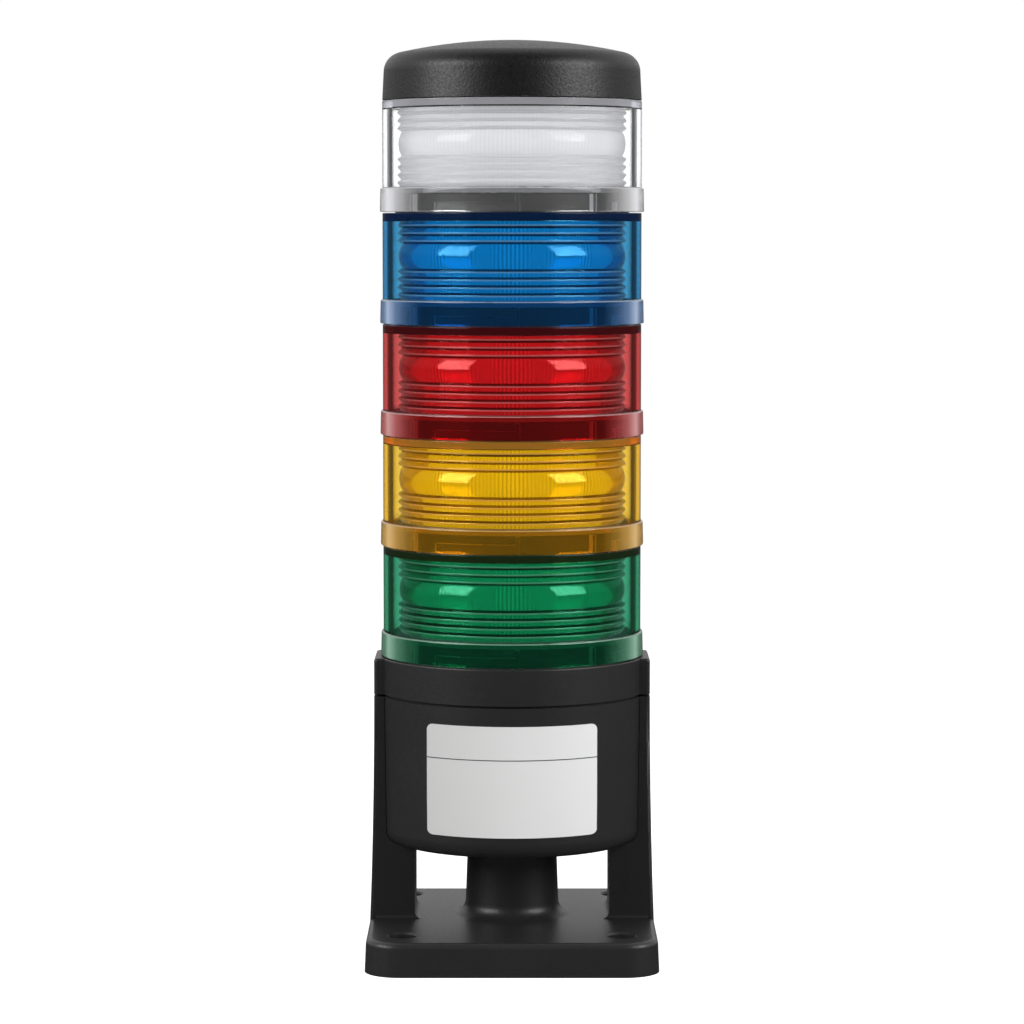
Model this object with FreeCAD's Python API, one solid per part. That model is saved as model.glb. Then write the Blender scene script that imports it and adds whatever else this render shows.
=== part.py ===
import FreeCAD, Part
import math
import os

# A five-tier stack light (signal tower) on a footed stand, in millimetres.
# +Z is up, the front faces -Y, and the origin is on the tower's axis at the underside of the foot.
# From the bottom: a foot with a hollow post and two legs, a round wiring housing that drops between
# the legs, a socket collar, five bayonet light modules and a cap. Each tier twists off the one below.

# Light module: its lens tube sets the width of the whole tower
lens_radius = 35.0
lens_wall = 2.6
lens_flange = 2.0
flange_lap = 2.0
module_pitch = 30.0
module_colours = ("green", "amber", "red", "blue", "clear")
ring_step = 0.7
ring_wall = 2.4
ring_height = 6.4
ring_edge_round = 0.35
tier_gap = 0.3

# Bayonet between any two tiers: a neck with lugs below, an opening with ramps above
neck_wall = 2.6
neck_rim = 0.2
deck_thickness = 1.4
lug_count = 4
lug_centre = -4.0
lug_half_angle = 5.0
lug_reach = 1.4
lug_height = 1.5
bayonet_twist = 39.0
ramp_height = 2.5
stop_angle = 2.0
slot_slack = 1.5
stop_slack = 0.5

# Seal ring on top of each neck
seal_width = 1.4
seal_groove_depth = 0.5
seal_height = 0.75

# Contacts between tiers: sprung pins above, ring tracks below
track_count = 6
track_first_radius = 5.0
track_screw_gap = 4.2
track_width = 1.4
track_thickness = 0.3
pin_radius = 0.7
pin_tail = 1.0
pin_tip_gap = 0.2

# Inner lens of a module: a bulged belt between stepped prism rings
prism_gap = 1.3
prism_depth = 1.1
prism_step = 0.75
prisms_above = 3
prisms_below = 4
belt_height = 6.5
belt_bulge = 0.9
belt_inset = 0.4
inner_lens_wall = 1.5

# Contact plate, circuit board and diffuser inside a module
plate_inset = 0.1
plate_thickness = 1.6
plate_over_neck = 0.4
standoff_count = 3
standoff_turn = 30.0
standoff_inset = 2.5
standoff_radius = 1.9
standoff_height = 2.2
stake_radius = 1.0
stake_height = 0.6
board_gap = 6.7
board_thickness = 1.6
led_count = 6
led_inset = 7.0
led_width = 3.4
led_height = 1.1
diffuser_gap = 1.0
diffuser_wall = 1.5
diffuser_headroom = 0.9
diffuser_edge_round = 2.0

# Cap on the top module
cap_height = 16.3
cap_draft = 0.4
cap_dome_radius = 140.0
cap_edge_round = 5.2
cap_wall = 1.7
cap_rib_wall = 1.8

# Round wiring housing
housing_bottom = 29.3
housing_step = 0.3
housing_draft = 0.45
housing_wall = 2.5
housing_edge_round = 4.0
housing_boss_radius = 3.2
seam_height = 70.0
seam_gap = 0.6
gasket_recess = 0.8
gasket_width = 1.6

# Socket collar on top of the housing
collar_height = 10.0
collar_web = 1.5
ear_top_round = 0.75

# Self-tapping screws
screw_shank_radius = 1.4
screw_head_radius = 2.6
screw_head_height = 1.7
screw_length = 9.5
screw_slot_width = 0.7
screw_slot_depth = 0.9
housing_screw_gap = 1.25
housing_screw_pad = 0.7
collar_screw_gap = 0.9
collar_screw_angles = (90.0, 210.0, 330.0)

# Terminal block in the housing
terminal_ways = 7
terminal_pitch = 5.0
terminal_depth = 10.0
terminal_height = 14.0
terminal_boss_gap = 1.3
terminal_end_wall = 1.2
terminal_screw_radius = 1.5
terminal_screw_depth = 4.0
terminal_screw_sink = 1.6
terminal_wire_radius = 1.3
terminal_wire_height = 4.5

# Bare rating label on the front of the housing
label_width = 49.0
label_lower_margin = 1.9
label_upper_margin = 4.8
label_thickness = 0.25
label_corner_radius = 1.6

# Legs at the two sides of the housing
leg_proud = 1.3
leg_batter = 1.3
leg_thickness = 12.2
leg_waist_bow = 0.3
leg_half_depth = 10.5
leg_edge_round = 0.9
leg_foot_round = 2.0
leg_side_round = 1.0

# Hollow post that carries the cable up to the housing
post_foot_radius = 12.7
post_draft = 0.6
post_foot_round = 3.6
post_shoulder = 1.7
post_neck_wall = 1.9

# Foot plate of the stand
foot_ledge = 0.4
foot_front = 46.0
foot_back = 36.0
foot_height = 9.0
foot_corner_radius = 9.5
foot_draft = 0.4
foot_edge_round = 1.6
foot_skin = 3.0
foot_rim = 3.0
foot_rib = 2.4

# Four fixing holes in the foot, each in a boss
fixing_side_margin = 10.0
fixing_front_margin = 12.0
fixing_back_margin = 10.0
fixing_hole_radius = 3.7
fixing_boss_wall = 3.3
fixing_chamfer = 0.5

# Clearances, and how far a cut runs past the face it opens
seat_clearance = 0.15
slip_clearance = 0.05
running_clearance = 0.3
cut_overrun = 1.0

# Radii of the bayonet and of the module, from the lens tube inwards
ring_radius = lens_radius + ring_step
lens_bore = lens_radius - lens_wall
bayonet_bore = ring_radius - ring_wall
lug_radius = bayonet_bore - running_clearance
neck_radius = lug_radius - lug_reach
neck_bore = neck_radius - neck_wall
ramp_bore = neck_radius + running_clearance
plate_radius = neck_radius - plate_inset
prism_peak_radius = lens_bore - prism_gap
prism_valley_radius = prism_peak_radius - prism_depth
belt_peak_radius = prism_peak_radius - belt_inset
belt_edge_radius = belt_peak_radius - belt_bulge
inner_lens_bore = belt_edge_radius - inner_lens_wall
flange_hole_radius = prism_valley_radius - flange_lap
diffuser_radius = inner_lens_bore - diffuser_gap
board_radius = diffuser_radius - diffuser_wall - board_gap
standoff_circle = board_radius - standoff_inset
led_circle = board_radius - led_inset
cap_foot_radius = lens_radius
cap_top_radius = cap_foot_radius - cap_draft

# Levels of a module above its lower edge
lug_bottom = tier_gap + ramp_height + running_clearance
neck_height = lug_bottom + lug_height + neck_rim
plate_bottom = neck_height + plate_over_neck
plate_top = plate_bottom + plate_thickness
flange_bottom = module_pitch - lens_flange
prism_room = flange_bottom - plate_top - belt_height
prism_pitch = prism_room / (prisms_above + prisms_below)
diffuser_top = flange_bottom - diffuser_headroom

# Housing, collar and screws
housing_radius = ring_radius + housing_step
housing_foot_radius = housing_radius - housing_draft
housing_top = seam_height - seam_gap / 2
housing_floor_top = housing_bottom + housing_wall
housing_round_top = housing_bottom + housing_edge_round
housing_screw_x = housing_foot_radius - housing_wall - screw_head_radius - housing_screw_gap
collar_bottom = seam_height + seam_gap / 2
collar_top = seam_height + collar_height
collar_web_bottom = collar_top - collar_web
collar_screw_circle = neck_bore - screw_head_radius - collar_screw_gap
track_last_radius = collar_screw_circle - screw_head_radius - track_screw_gap - track_width / 2
terminal_front = collar_screw_circle - housing_boss_radius - terminal_boss_gap - terminal_depth
label_bottom = housing_round_top + label_lower_margin
label_top = housing_top - label_upper_margin
cap_bottom = collar_top + module_pitch * len(module_colours)

# Stand
leg_top_outer = housing_radius + leg_proud
leg_foot_outer = leg_top_outer + leg_batter
leg_inner = leg_foot_outer - leg_thickness
leg_root = foot_height - foot_skin / 2
post_top_radius = post_foot_radius - post_draft
post_neck_radius = post_top_radius - post_shoulder
cable_bore_radius = post_neck_radius - post_neck_wall
foot_width = 2 * (leg_foot_outer + foot_ledge)
foot_length = foot_front + foot_back
foot_middle_y = (foot_back - foot_front) / 2
fixing_x = foot_width / 2 - fixing_side_margin
fixing_front = foot_front - fixing_front_margin
fixing_back = foot_back - fixing_back_margin
fixing_boss_radius = fixing_hole_radius + fixing_boss_wall

AXIS = FreeCAD.Vector(0, 0, 1)
ORIGIN = FreeCAD.Vector(0, 0, 0)


def point(radius, height):
    """A point of a turned section, in the plane through the axis."""
    return FreeCAD.Vector(radius, 0, height)


def line(start, end):
    return Part.LineSegment(start, end).toShape()


def arc(start, middle, end):
    return Part.Arc(start, middle, end).toShape()


def corner_arc(start, end, centre, radius):
    """A quarter-like arc from start to end that bulges away from its centre."""
    out = (start + end) * 0.5 - centre
    return arc(start, centre + out * (radius / out.Length), end)


def turned(edges, sweep=360.0):
    """A closed section turned about the tower's axis."""
    face = Part.Face(Part.Wire(edges))
    return face.revolve(ORIGIN, AXIS, sweep)


def polygon(points):
    closed = list(points) + [points[0]]
    return [line(a, b) for a, b in zip(closed, closed[1:])]


def ring(inner, outer, bottom, top):
    """A plain round ring, or a disc where the inner radius is nothing."""
    body = Part.makeCylinder(outer, top - bottom, FreeCAD.Vector(0, 0, bottom))
    if inner:
        body = body.cut(Part.makeCylinder(inner, top - bottom, FreeCAD.Vector(0, 0, bottom)))
    return body


def sector(inner, outer, bottom, top, start, end):
    """A piece of a ring between two angles, counted from the front towards +X."""
    section = polygon([point(inner, bottom), point(outer, bottom), point(outer, top), point(inner, top)])
    piece = turned(section, end - start)
    piece.rotate(ORIGIN, AXIS, start - 90)
    return piece


def polar(radius, angle):
    """X and Y of a place on a circle, its angle counted from +X."""
    return radius * math.cos(math.radians(angle)), radius * math.sin(math.radians(angle))


def rod(radius, x, y, bottom, top):
    return Part.makeCylinder(radius, top - bottom, FreeCAD.Vector(x, y, bottom))


def joined(shapes):
    body = shapes[0].fuse(shapes[1:]) if len(shapes) > 1 else shapes[0]
    return body.removeSplitter()


def lifted(shape, height):
    moved = shape.copy()
    moved.translate(FreeCAD.Vector(0, 0, height))
    return moved


def rounded_rectangle(width, length, radius, middle_y, height):
    """A level outline with rounded corners, as a wire."""
    x, y = width / 2, length / 2
    quarter = radius * (1 - math.sqrt(0.5))
    corners = []
    for sx, sy in ((1, -1), (1, 1), (-1, 1), (-1, -1)):
        along_x = FreeCAD.Vector(sx * (x - radius), middle_y + sy * y, height)
        along_y = FreeCAD.Vector(sx * x, middle_y + sy * (y - radius), height)
        middle = FreeCAD.Vector(sx * (x - quarter), middle_y + sy * (y - quarter), height)
        corners.append((along_x, middle, along_y) if sx * sy < 0 else (along_y, middle, along_x))
    edges = []
    for corner, following in zip(corners, corners[1:] + corners[:1]):
        edges.append(arc(*corner))
        edges.append(line(corner[2], following[0]))
    return Part.Wire(edges)


# Fasteners


def pan_head_screw(x, y, seat):
    """A slotted pan-head screw that stands on a seat and points down."""
    shank = rod(screw_shank_radius, x, y, seat - screw_length, seat)
    tip = [e for e in shank.Edges if e.Closed and e.BoundBox.ZMax < seat - screw_length / 2]
    shank = shank.makeChamfer(screw_shank_radius / 2, tip)
    top = seat + screw_head_height
    head = rod(screw_head_radius, x, y, seat, top)
    crown = [e for e in head.Edges if e.CenterOfMass.z > seat + screw_head_height / 2 and e.Closed]
    head = head.makeChamfer(screw_head_height / 3, crown)
    slot = Part.makeBox(
        2 * screw_head_radius,
        screw_slot_width,
        screw_slot_depth,
        FreeCAD.Vector(x - screw_head_radius, y - screw_slot_width / 2, top - screw_slot_depth),
    )
    return joined([shank, head]).cut(slot)


def collar_screw_places():
    return [polar(collar_screw_circle, angle) for angle in collar_screw_angles]


def housing_screw_places():
    return [(side * housing_screw_x, 0.0) for side in (-1, 1)]


# Stand: foot plate, hollow post and two legs, moulded as one piece


def fixing_places():
    return [(side * fixing_x, y) for side in (-1, 1) for y in (-fixing_front, fixing_back)]


def foot_plate():
    """A drafted plate with a rounded top edge and a cored underside with bosses and ribs."""
    inset = 2 * foot_draft
    base = rounded_rectangle(foot_width, foot_length, foot_corner_radius, foot_middle_y, 0)
    top = rounded_rectangle(
        foot_width - inset, foot_length - inset, foot_corner_radius - foot_draft, foot_middle_y, foot_height
    )
    plate = Part.makeLoft([base, top], True, True)
    rim = [e for e in plate.Edges if abs(e.BoundBox.ZMin - foot_height) < 1e-6]
    plate = plate.makeFillet(foot_edge_round, rim)
    core_height = foot_height - foot_skin
    core_outline = rounded_rectangle(
        foot_width - 2 * foot_rim,
        foot_length - 2 * foot_rim,
        foot_corner_radius - foot_rim,
        foot_middle_y,
        0,
    )
    core = Part.Face(core_outline).extrude(FreeCAD.Vector(0, 0, core_height))
    kept = [rod(fixing_boss_radius, x, y, 0, core_height) for x, y in fixing_places()]
    kept.append(rod(post_foot_radius, 0, 0, 0, core_height))
    for x in (-fixing_x, 0.0, fixing_x):
        corner = FreeCAD.Vector(x - foot_rib / 2, -foot_front, 0)
        kept.append(Part.makeBox(foot_rib, foot_length, core_height, corner))
    for y in (-fixing_front, 0.0, fixing_back):
        corner = FreeCAD.Vector(-foot_width / 2, y - foot_rib / 2, 0)
        kept.append(Part.makeBox(foot_width, foot_rib, core_height, corner))
    return plate.cut(core.cut(kept))


def post():
    """A drafted round post with a flared foot and a neck that enters the housing floor."""
    flare_top = foot_height + post_foot_round
    centre = point(post_foot_radius + post_foot_round, flare_top)
    start = point(post_foot_radius + post_foot_round, foot_height)
    end = point(post_foot_radius, flare_top)
    edges = [
        line(point(0, leg_root), point(start.x, leg_root)),
        line(point(start.x, leg_root), start),
        corner_arc(start, end, centre, post_foot_round),
        line(end, point(post_top_radius, housing_bottom)),
        line(point(post_top_radius, housing_bottom), point(post_neck_radius, housing_bottom)),
        line(point(post_neck_radius, housing_bottom), point(post_neck_radius, housing_floor_top)),
        line(point(post_neck_radius, housing_floor_top), point(0, housing_floor_top)),
        line(point(0, housing_floor_top), point(0, leg_root)),
    ]
    return turned(edges)


def housing_form(clearance, top):
    """The outside of the housing as a solid, grown sideways by a clearance."""
    foot = housing_foot_radius + clearance
    start = point(foot - housing_edge_round, housing_bottom)
    end = point(foot, housing_round_top)
    rim = point(housing_radius + clearance, housing_top)
    edges = [
        line(point(0, housing_bottom), start),
        corner_arc(start, end, point(start.x, housing_round_top), housing_edge_round),
        line(end, rim),
        line(rim, point(rim.x, top)),
        line(point(rim.x, top), point(0, top)),
        line(point(0, top), point(0, housing_bottom)),
    ]
    return turned(edges)


def leg_skirt():
    """A bar with hollow rounds that blend the front and the back of a leg into the foot plate."""
    blend_top = foot_height + leg_side_round
    reach = leg_half_depth + leg_side_round
    high = [FreeCAD.Vector(0, side * leg_half_depth, blend_top) for side in (-1, 1)]
    low = [FreeCAD.Vector(0, side * reach, foot_height) for side in (-1, 1)]
    root = [FreeCAD.Vector(0, side * reach, leg_root) for side in (-1, 1)]
    bend = [FreeCAD.Vector(0, side * reach, blend_top) for side in (-1, 1)]
    edges = [
        corner_arc(high[0], low[0], bend[0], leg_side_round),
        line(low[0], root[0]),
        line(root[0], root[1]),
        line(root[1], low[1]),
        corner_arc(low[1], high[1], bend[1], leg_side_round),
        line(high[1], high[0]),
    ]
    flat_edge = foot_width / 2 - foot_draft - foot_edge_round
    return Part.Face(Part.Wire(edges)).extrude(FreeCAD.Vector(flat_edge, 0, 0))


def leg(side):
    """A bowed slab from the foot to the seam, hollowed to seat the side of the housing."""
    waist_height = (leg_root + housing_top) / 2
    waist = (leg_foot_outer + leg_top_outer) / 2 - leg_waist_bow
    foot_out = FreeCAD.Vector(leg_foot_outer, -leg_half_depth, leg_root)
    top_out = FreeCAD.Vector(leg_top_outer, -leg_half_depth, housing_top)
    top_in = FreeCAD.Vector(leg_inner, -leg_half_depth, housing_top)
    foot_in = FreeCAD.Vector(leg_inner, -leg_half_depth, foot_height + leg_foot_round)
    toe = FreeCAD.Vector(leg_inner - leg_foot_round, -leg_half_depth, foot_height)
    toe_root = FreeCAD.Vector(toe.x, -leg_half_depth, leg_root)
    bend = FreeCAD.Vector(toe.x, -leg_half_depth, foot_in.z)
    outline = Part.Wire(
        [
            arc(foot_out, FreeCAD.Vector(waist, -leg_half_depth, waist_height), top_out),
            line(top_out, top_in),
            line(top_in, foot_in),
            corner_arc(foot_in, toe, bend, leg_foot_round),
            line(toe, toe_root),
            line(toe_root, foot_out),
        ]
    )
    slab = Part.Face(outline).extrude(FreeCAD.Vector(0, 2 * leg_half_depth, 0))
    outline.translate(FreeCAD.Vector(0, -leg_side_round, 0))
    sides = Part.Face(outline).extrude(FreeCAD.Vector(0, 2 * (leg_half_depth + leg_side_round), 0))
    skirt = leg_skirt().common(sides)
    middle_x = (leg_inner + leg_top_outer) / 2
    outer = [e for e in slab.Edges if e.BoundBox.XMin > middle_x and e.BoundBox.ZLength > housing_top / 2]
    slab = slab.makeFillet(leg_edge_round, outer)
    slab = slab.fuse(skirt).cut(housing_form(seat_clearance, housing_top + housing_wall))
    if side < 0:
        slab = slab.mirror(ORIGIN, FreeCAD.Vector(1, 0, 0))
    return slab


def foot_stand():
    body = joined([foot_plate(), post(), leg(-1), leg(1)])
    cuts = [rod(cable_bore_radius, 0, 0, -foot_height, housing_floor_top + foot_height)]
    for x, y in fixing_places():
        cuts.append(rod(fixing_hole_radius, x, y, -foot_height, 2 * foot_height))
        mouth = fixing_hole_radius + fixing_chamfer
        at = FreeCAD.Vector(x, y, foot_height - fixing_chamfer)
        cuts.append(Part.makeCone(fixing_hole_radius, mouth, fixing_chamfer, at))
    pilot = screw_shank_radius + slip_clearance
    for x, y in housing_screw_places():
        cuts.append(rod(pilot, x, y, housing_bottom - screw_length, housing_bottom + housing_wall))
    return body.cut(cuts)


# Wiring housing: a round cup with a rounded lower edge, its bosses and its screws


def wiring_housing():
    outer_start = point(housing_foot_radius - housing_edge_round, housing_bottom)
    outer_end = point(housing_foot_radius, housing_round_top)
    centre = point(outer_start.x, housing_round_top)
    inner_round = housing_edge_round - housing_wall
    inner_start = point(housing_foot_radius - housing_wall, housing_round_top)
    inner_end = point(outer_start.x, housing_floor_top)
    hole = post_neck_radius + slip_clearance
    edges = [
        line(point(hole, housing_bottom), outer_start),
        corner_arc(outer_start, outer_end, centre, housing_edge_round),
        line(outer_end, point(housing_radius, housing_top)),
        line(point(housing_radius, housing_top), point(housing_radius - housing_wall, housing_top)),
        line(point(housing_radius - housing_wall, housing_top), inner_start),
        corner_arc(inner_start, inner_end, centre, inner_round),
        line(inner_end, point(hole, housing_floor_top)),
        line(point(hole, housing_floor_top), point(hole, housing_bottom)),
    ]
    cup = turned(edges)
    inside_floor = housing_bottom + housing_wall / 2
    solids = [cup]
    cuts = []
    pilot = screw_shank_radius + slip_clearance
    for x, y in collar_screw_places():
        solids.append(rod(housing_boss_radius, x, y, inside_floor, collar_web_bottom))
        cuts.append(rod(pilot, x, y, collar_web_bottom - screw_length, collar_web_bottom + collar_web))
    for x, y in housing_screw_places():
        solids.append(rod(housing_boss_radius, x, y, inside_floor, housing_floor_top + housing_screw_pad))
        cuts.append(rod(pilot + slip_clearance, x, y, housing_bottom - housing_wall, housing_top))
    return joined(solids).cut(cuts)


def housing_screws():
    seat = housing_floor_top + housing_screw_pad
    return Part.makeCompound([pan_head_screw(x, y, seat) for x, y in housing_screw_places()])


def housing_gasket():
    outer = housing_radius - gasket_recess
    return ring(outer - gasket_width, outer, housing_top, collar_bottom)


def rating_label():
    """A thin bare label with rounded corners, bent round the front of the housing."""
    slope = housing_draft / (housing_top - housing_round_top)
    low = housing_foot_radius + slope * (label_bottom - housing_round_top)
    high = housing_foot_radius + slope * (label_top - housing_round_top)
    section = [
        point(low, label_bottom),
        point(low + label_thickness, label_bottom),
        point(high + label_thickness, label_top),
        point(high, label_top),
    ]
    half_angle = math.degrees(label_width / 2 / housing_radius)
    sheet = turned(polygon(section), 2 * half_angle)
    sheet.rotate(ORIGIN, AXIS, -half_angle - 90)
    chord = 2 * high * math.sin(math.radians(half_angle))
    outline = rounded_rectangle(chord, label_top - label_bottom, label_corner_radius, 0, 0)
    window = Part.Face(outline).extrude(FreeCAD.Vector(0, 0, 2 * housing_radius))
    window.rotate(ORIGIN, FreeCAD.Vector(1, 0, 0), 90)
    window.translate(FreeCAD.Vector(0, 0, (label_bottom + label_top) / 2))
    return sheet.common(window)


def terminal_left():
    return -terminal_ways * terminal_pitch / 2


def terminal_places():
    middle = terminal_front + terminal_depth / 2
    return [(terminal_left() + (way + 0.5) * terminal_pitch, middle) for way in range(terminal_ways)]


def terminal_block():
    """A screw terminal strip on the housing floor, with a wire hole under each screw well."""
    width = terminal_ways * terminal_pitch + 2 * terminal_end_wall
    corner = FreeCAD.Vector(-width / 2, terminal_front, housing_floor_top)
    body = Part.makeBox(width, terminal_depth, terminal_height, corner)
    top = housing_floor_top + terminal_height
    cuts = []
    for x, y in terminal_places():
        cuts.append(rod(terminal_screw_radius + slip_clearance, x, y, top - terminal_screw_depth, top))
        wire = Part.makeCylinder(
            terminal_wire_radius,
            terminal_depth / 2,
            FreeCAD.Vector(x, terminal_front, housing_floor_top + terminal_wire_height),
            FreeCAD.Vector(0, 1, 0),
        )
        cuts.append(wire)
    return body.cut(cuts)


def terminal_screws():
    bottom = housing_floor_top + terminal_height - terminal_screw_depth
    screws = []
    for x, y in terminal_places():
        body = rod(terminal_screw_radius, x, y, bottom, bottom + terminal_screw_depth - terminal_screw_sink)
        slot_corner = FreeCAD.Vector(
            x - terminal_screw_radius, y - screw_slot_width / 2, body.BoundBox.ZMax - screw_slot_depth
        )
        slot = Part.makeBox(2 * terminal_screw_radius, screw_slot_width, screw_slot_depth, slot_corner)
        screws.append(body.cut(slot))
    return Part.makeCompound(screws)


# Bayonet halves and the parts that meet there


def neck_cup(base):
    """The lower half of a bayonet: a decked neck with lugs outside and a seal groove on its rim."""
    top = base + neck_height
    wall_middle = neck_radius - neck_wall / 2
    groove_half = seal_width / 2 + slip_clearance
    section = [
        point(0, base),
        point(neck_radius, base),
        point(neck_radius, top),
        point(wall_middle + groove_half, top),
        point(wall_middle + groove_half, top - seal_groove_depth),
        point(wall_middle - groove_half, top - seal_groove_depth),
        point(wall_middle - groove_half, top),
        point(neck_bore, top),
        point(neck_bore, base + deck_thickness),
        point(0, base + deck_thickness),
    ]
    solids = [turned(polygon(section))]
    root = neck_radius - (neck_wall - seal_width) / 4
    bottom = base + lug_bottom
    for start in lug_starts():
        end = start + 2 * lug_half_angle
        solids.append(sector(root, lug_radius, bottom, bottom + lug_height, start, end))
    return joined(solids)


def lug_starts():
    return [lug_centre - lug_half_angle + way * 360.0 / lug_count for way in range(lug_count)]


def bayonet_ramps(base, root):
    """The upper half of a bayonet: ramps that hold the lugs down, with a stop and a slot guide each."""
    top = base + lug_bottom + lug_height + running_clearance
    slot = lug_centre - bayonet_twist
    slot_half = lug_half_angle + slot_slack
    stop = lug_centre + lug_half_angle + stop_slack
    bottom = base + tier_gap
    pieces = []
    for way in range(lug_count):
        turn = way * 360.0 / lug_count
        ramp_start = turn + slot + slot_half
        guide_end = turn + slot - slot_half
        pieces.append(sector(ramp_bore, root, bottom, bottom + ramp_height, ramp_start, turn + stop))
        pieces.append(sector(ramp_bore, root, bottom, top, turn + stop, turn + stop + stop_angle))
        pieces.append(sector(ramp_bore, root, bottom, top, guide_end - stop_angle, guide_end))
    return pieces


def seal_ring(base):
    middle = neck_radius - neck_wall / 2
    bottom = base + neck_height - seal_groove_depth
    return ring(middle - seal_width / 2, middle + seal_width / 2, bottom, bottom + seal_height)


def track_radii():
    pitch = (track_last_radius - track_first_radius) / (track_count - 1)
    return [track_first_radius + way * pitch for way in range(track_count)]


def contact_tracks(base):
    """Concentric contact rings that lie on the deck of a neck."""
    bottom = base + deck_thickness
    top = bottom + track_thickness
    half = track_width / 2
    return Part.makeCompound([ring(r - half, r + half, bottom, top) for r in track_radii()])


# Socket collar: closes the housing, with an ear over each leg and the first bayonet neck


def collar_ear(side):
    width = leg_top_outer - neck_radius
    corner = FreeCAD.Vector(neck_radius, -leg_half_depth, collar_bottom)
    block = Part.makeBox(width, 2 * leg_half_depth, collar_top - collar_bottom, corner)
    upright = [
        e for e in block.Edges if e.BoundBox.XMin > leg_top_outer - 1e-6 and e.BoundBox.ZLength > width
    ]
    block = block.makeFillet(leg_edge_round, upright)
    brow = [
        e
        for e in block.Edges
        if e.BoundBox.XMin > leg_top_outer - leg_edge_round - 1e-6 and e.BoundBox.ZMin > collar_top - 1e-6
    ]
    block = block.makeFillet(ear_top_round, brow)
    if side < 0:
        block = block.mirror(ORIGIN, FreeCAD.Vector(1, 0, 0))
    return block


def socket_collar():
    wall_bore = housing_radius - housing_wall
    skirt = ring(wall_bore, housing_radius, collar_bottom, collar_web_bottom)
    hollow = rod(wall_bore, 0, 0, collar_bottom - cut_overrun, collar_web_bottom)
    ears = [collar_ear(side).cut(hollow) for side in (-1, 1)]
    web = ring(0, housing_radius, collar_web_bottom, collar_top)
    rim = [e for e in web.Edges if e.BoundBox.ZMin > collar_top - 1e-6]
    web = web.makeFillet(ring_edge_round, rim)
    body = joined([skirt, web, neck_cup(collar_top)] + ears)
    hole = screw_shank_radius + 2 * slip_clearance
    bottom = collar_web_bottom - cut_overrun
    top = collar_top + deck_thickness + cut_overrun
    return body.cut([rod(hole, x, y, bottom, top) for x, y in collar_screw_places()])


def collar_screws():
    seat = collar_top + deck_thickness
    return Part.makeCompound([pan_head_screw(x, y, seat) for x, y in collar_screw_places()])


# Light module, built with its lower edge at height zero


def outer_lens():
    """A smooth transparent tube with a wider bayonet ring at its foot and a flange at its top."""
    top = tier_gap + ring_height
    section = [
        point(bayonet_bore, tier_gap),
        point(ring_radius, tier_gap),
        point(ring_radius, top),
        point(lens_radius, top),
        point(lens_radius, module_pitch),
        point(flange_hole_radius, module_pitch),
        point(flange_hole_radius, flange_bottom),
        point(lens_bore, flange_bottom),
        point(lens_bore, plate_top),
        point(bayonet_bore, plate_bottom),
    ]
    tube = turned(polygon(section))
    lips = [e for e in tube.Edges if e.Closed and abs(e.BoundBox.XLength - 2 * ring_radius) < 1e-3]
    tube = tube.makeFillet(ring_edge_round, lips)
    root = (bayonet_bore + ring_radius) / 2
    return joined([tube] + bayonet_ramps(0, root))


def inner_lens():
    """A drum lens: a bulged belt between rings of stepped prisms, hollow inside."""
    rise = prism_pitch - prism_step
    outline = [point(inner_lens_bore, plate_top)]
    height = plate_top
    for _ in range(prisms_below):
        outline.append(point(prism_valley_radius, height))
        outline.append(point(prism_peak_radius, height + rise))
        height += prism_pitch
    belt_bottom = point(belt_edge_radius, height)
    belt_middle = point(belt_peak_radius, height + belt_height / 2)
    belt_top = point(belt_edge_radius, height + belt_height)
    outline.append(belt_bottom)
    edges = [line(a, b) for a, b in zip(outline, outline[1:])]
    edges.append(arc(belt_bottom, belt_middle, belt_top))
    outline = [belt_top]
    height += belt_height
    for _ in range(prisms_above):
        outline.append(point(prism_peak_radius, height + prism_step))
        outline.append(point(prism_valley_radius, height + prism_pitch))
        height += prism_pitch
    outline.append(point(inner_lens_bore, flange_bottom))
    outline.append(point(inner_lens_bore, plate_top))
    edges += [line(a, b) for a, b in zip(outline, outline[1:])]
    return turned(edges)


def pin_places():
    step = 360.0 / track_count
    return [polar(radius, way * step) for way, radius in enumerate(track_radii())]


def standoff_places():
    step = 360.0 / standoff_count
    return [polar(standoff_circle, standoff_turn + way * step) for way in range(standoff_count)]


def contact_plate():
    """The floor of a module, with staked standoffs for the circuit board."""
    solids = [ring(0, plate_radius, plate_bottom, plate_top)]
    board_bottom = plate_top + standoff_height
    for x, y in standoff_places():
        solids.append(rod(standoff_radius, x, y, plate_bottom, board_bottom))
        solids.append(rod(stake_radius, x, y, plate_bottom, board_bottom + board_thickness + stake_height))
    plate = joined(solids)
    hole = pin_radius + slip_clearance
    bottom = plate_bottom - cut_overrun
    top = plate_top + cut_overrun
    return plate.cut([rod(hole, x, y, bottom, top) for x, y in pin_places()])


def contact_pins():
    tip = deck_thickness + track_thickness + pin_tip_gap
    pins = []
    for x, y in pin_places():
        pin = rod(pin_radius, x, y, tip, plate_top + pin_tail)
        nose = [e for e in pin.Edges if e.Closed and e.BoundBox.ZMax < tip + 1e-6]
        pins.append(pin.makeChamfer(pin_radius / 2, nose))
    return Part.makeCompound(pins)


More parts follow.
